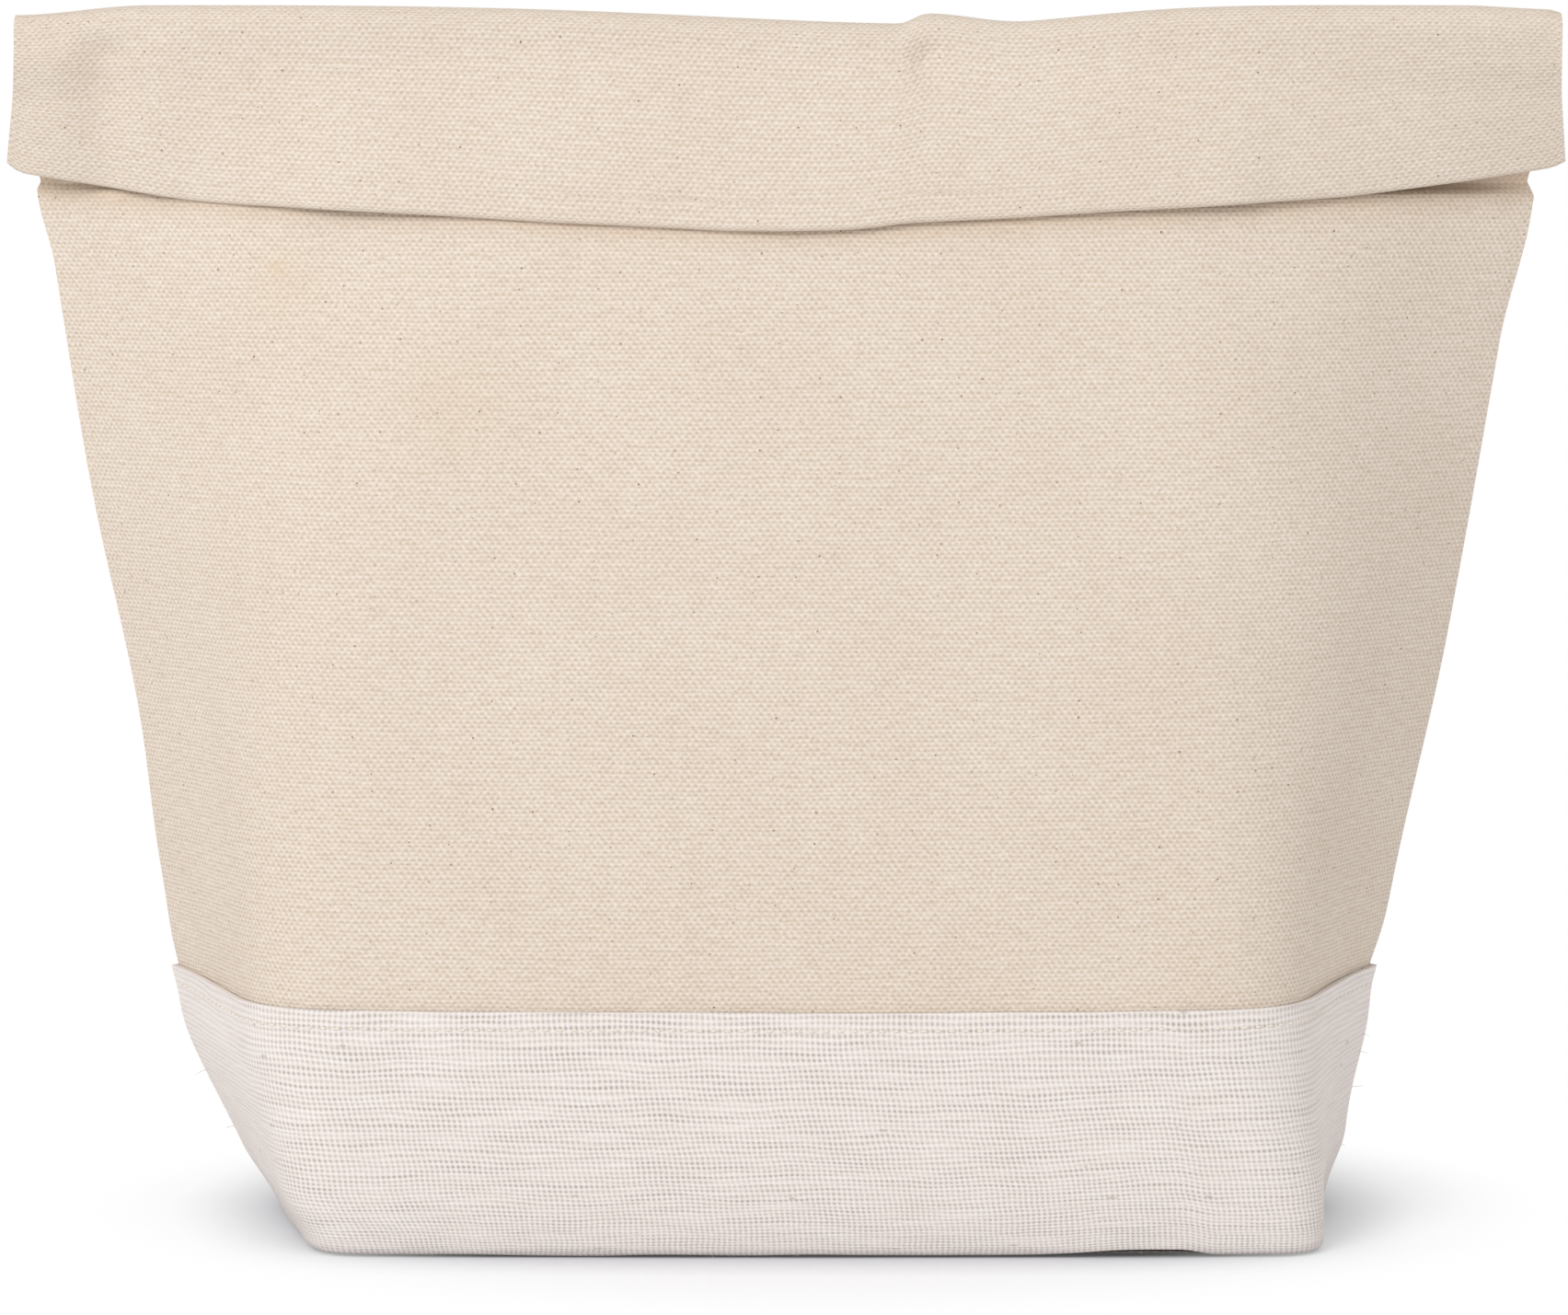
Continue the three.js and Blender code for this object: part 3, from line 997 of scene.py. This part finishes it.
def behind_flap(x, z, depth):
    """A point a depth behind the flap's outer face."""
    high = ridge_top(x) - ridge_round
    low = flap_edge(x) + turn_round
    y, _ = flap_path(x, mix(over_ridge, down_front, (high - z) / (high - low)))
    return Vector((x, y + depth, z))


def facing_face(depth):
    def face(across, along):
        x = (2 * across - 1) * (flap_half - 2.5)
        return behind_flap(x, mix(ridge_top(x) - 6.6, flap_edge(x) + 7.2, along), depth)

    return face


flap_facing = cloth(
    "flap_facing",
    150,
    40,
    facing_face(1.25),
    facing_face(1.95),
    lambda a, b: (3200 + 338 * a, 40 * b),
)
for piece, node in ((flap_canvas, "flap_canvas"), (flap_facing, "flap_facing")):
    piece.data.materials.append(canvas)
    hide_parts(node)
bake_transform(flap_canvas)
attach(flap_facing, "flap")

# Loop tape
# The closure's other half, a woven nylon tape with soft brushed loops, sewn to the flap's facing.


def loop_face(depth):
    def face(across, along):
        return behind_flap((2 * across - 1) * tape_half, mix(tape_high, tape_low, along), depth)

    return face


loop_tape = cloth("loop_tape", 80, 8, loop_face(2.2), loop_face(3.0), tape_thread)
loop_tape.data.materials.append(
    tape_material("loop_tape_brushed_nylon", "#D9D0C1", "#F3EDE2", hook_pitch * 0.45, 0.0005)
)
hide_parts("loop_tape")
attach(loop_tape, "flap")

# Topstitching
# One row of lockstitch in cream cotton thread, 3 mm to the stitch, holds the band to the canvas.
# Each stitch is a short loop of thread that sinks into the cloth at its ends.
stitch_pitch = 3.0
stitch_down = 3.8
stitch_half = 1.05
on_band = -1.56
stitch_size = (0.0009, 0.00024, 0.0003, 1)
thread_finish, tree = new_material("cotton_sewing_thread")
spot = add_node(tree, "ShaderNodeTexCoord").outputs["Object"]
twist = add_node(
    tree,
    "ShaderNodeTexWave",
    {"Vector": spot, "Scale": 700.0, "Distortion": 2.0},
    bands_direction="DIAGONAL",
).outputs["Fac"]
surface(tree, {"Base Color": tinted(tree, twist, "#DDD1C0", "#EDE5DA"), "Roughness": 0.8})
stitches = bmesh.new()
for side in (FRONT, BACK):
    count = int(2 * (cut_half - 2) / stitch_pitch)
    for i in range(count):
        s = -cut_half + 2 + (i + 0.5) * stitch_pitch
        ends = []
        for at in (s - stitch_half, s + stitch_half):
            ends.append(wall(side, at, band_top(side, at) - stitch_down, on_band))
        along = (ends[1] - ends[0]).normalized()
        up = Vector((0, 0, 1))
        turn = Matrix((along, along.cross(up), up)).transposed().to_4x4()
        middle = Matrix.Translation((ends[0] + ends[1]) / 2000)
        shape = middle @ turn @ Matrix.Diagonal(stitch_size)
        bmesh.ops.create_uvsphere(stitches, u_segments=6, v_segments=5, radius=1.0, matrix=shape)
bmesh.ops.recalc_face_normals(stitches, faces=stitches.faces)
for f in stitches.faces:
    f.smooth = True
band_topstitch = new_piece("band_topstitch", stitches)
band_topstitch.data.materials.append(thread_finish)
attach(band_topstitch, "bag_body")

# Loose fibres
# Ends of cotton and jute fibre that stand out of the band's cut edges: a few at the side seams and
# along the foot. Each is a thin bent strand, and the seed keeps the bends the same in each run.
fibre_seed = 5
noise.seed_set(fibre_seed)
fibres = bmesh.new()
sprigs = [(FRONT, 168.5, z, 1.0, 0.3) for z in (39, 35, 27, 14)]
sprigs += [(FRONT, -168.5, z, -1.0, 0.2) for z in (44, 31, 18)]
sprigs += [(FRONT, s, 1.4, 0.2, -0.25) for s in (-84, -52, -21, -4, 12, 33, 47, 71, 88, 97)]
for i, (side, s, z, sideways, upwards) in enumerate(sprigs):
    at = wall(side, s, z, -1.4)
    bend = noise.noise_vector(Vector((i * 3.7, s / 10, z)))
    aim = Vector((sideways, -0.5, upwards)) + 0.6 * bend
    ring = []
    for k in range(5):
        t = k / 4
        middle = at + aim * 2.2 * t + Vector((bend.z, bend.x, bend.y - 0.4)) * 1.6 * t * t
        middle.z = max(middle.z, 0.15)
        radius = 0.075 * (1 - 0.6 * t)
        corners = [radius * Vector(c) for c in ((0, 1, 1), (0, -1, 1), (1, 0, -1))]
        ring.append([fibres.verts.new((middle + c) / 1000) for c in corners])
    for lower, upper in zip(ring, ring[1:]):
        for k in range(3):
            fibres.faces.new((lower[k], lower[k - 2], upper[k - 2], upper[k]))
    fibres.faces.new(ring[0])
    fibres.faces.new(ring[-1])
bmesh.ops.recalc_face_normals(fibres, faces=fibres.faces)
loose_fibres = new_piece("loose_fibres", fibres)
loose_fibres.data.materials.append(thread_finish)
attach(loose_fibres, "bag_body")

# Floor and backdrop
# A plain pale sweep. It shows white to the camera, and keeps the soft shadow round the bag's foot, with
# a painted contact shadow darkening the paper close to the bag.
sweep = bmesh.new()
bmesh.ops.create_grid(sweep, x_segments=1, y_segments=1, size=6.0)
floor = new_piece("floor", sweep)


def seen_directly(tree):
    """1 for what the camera sees, also in a mirror or through glass, and 0 for the light itself."""
    path = add_node(tree, "ShaderNodeLightPath")
    seen = path.outputs["Is Camera Ray"]
    for ray in ("Is Glossy Ray", "Is Transmission Ray"):
        either = {0: seen, 1: path.outputs[ray]}
        seen = add_node(tree, "ShaderNodeMath", either, operation="MAXIMUM").outputs[0]
    return seen


pale, tree = new_material("pale_paper_sweep")
# Painted shadow: ambient occlusion darkens the paper's colour within about two centimetres of the bag, a
# contact shadow all round its foot.
open_sky = add_node(tree, "ShaderNodeAmbientOcclusion", {"Distance": 0.022}).outputs["AO"]
paper_with_painted_contact_shadow = tinted(tree, open_sky, "#A6A6AE", "#F8F9FB")
paper = add_node(tree, "ShaderNodeBsdfDiffuse", {"Color": paper_with_painted_contact_shadow})
glow = add_node(tree, "ShaderNodeEmission", {"Color": (1, 1, 1, 1), "Strength": 1.0})
spot = add_node(tree, "ShaderNodeTexCoord").outputs["Object"]
round_bag = add_node(
    tree, "ShaderNodeVectorMath", {0: spot, 1: (1, 1.28, 1), 2: (-0.007, 0, 0)}, operation="MULTIPLY_ADD"
)
away = add_node(
    tree, "ShaderNodeVectorMath", {0: round_bag.outputs["Vector"]}, operation="LENGTH"
).outputs["Value"]
far = between(tree, away, 0.1, 0.17, 0.05, 1.0, smooth=True)
white = times(tree, far, seen_directly(tree))
lifted = add_node(
    tree, "ShaderNodeMixShader", {0: white, 1: paper.outputs["BSDF"], 2: glow.outputs["Emission"]}
)
add_node(tree, "ShaderNodeOutputMaterial", {"Surface": lifted.outputs["Shader"]})
floor.data.materials.append(pale)

# Light
# A large soft lamp in front, high and to the left, a weaker one from the right, and a pale room.
room_light = 0.74
world = bpy.data.worlds.new("pale_room")
bpy.context.scene.world = world
world.use_nodes = True
tree = world.node_tree
tree.nodes.clear()
strength = between(tree, seen_directly(tree), 0.0, 1.0, room_light, 1.0)
room = add_node(tree, "ShaderNodeBackground", {"Color": (1, 1, 1, 1), "Strength": strength})
add_node(tree, "ShaderNodeOutputWorld", {"Surface": room.outputs["Background"]})
for name, place, size, power in (
    ("key_lamp", (-1.8, -2.7, 2.1), 1.6, 60),
    ("fill_lamp", (1.5, -1.3, 0.7), 1.2, 2.6),
):
    lamp = bpy.data.lights.new(name, "AREA")
    lamp.size = size
    lamp.energy = power
    holder = bpy.data.objects.new(name, lamp)
    holder.location = place
    aim = Vector((0, 0, 0.13)) - Vector(place)
    holder.rotation_euler = aim.to_track_quat("-Z", "Y").to_euler()
    bpy.context.scene.collection.objects.link(holder)

# Camera
# In front of the bag, at about the height of its crease, looking slightly down with a long lens.
frame_width = 1704
focal_length = 6328.6
tilt_down = 5.07
view = bpy.data.cameras.new("camera")
view.sensor_width = 36.0
view.lens = view.sensor_width * focal_length / frame_width
camera = bpy.data.objects.new("camera", view)
camera.location = (0, -1.3, 0.2393)
camera.rotation_euler = (math.radians(90 - tilt_down), 0, 0)
bpy.context.scene.collection.objects.link(camera)
bpy.context.scene.camera = camera
bpy.context.scene.view_settings.view_transform = "Standard"
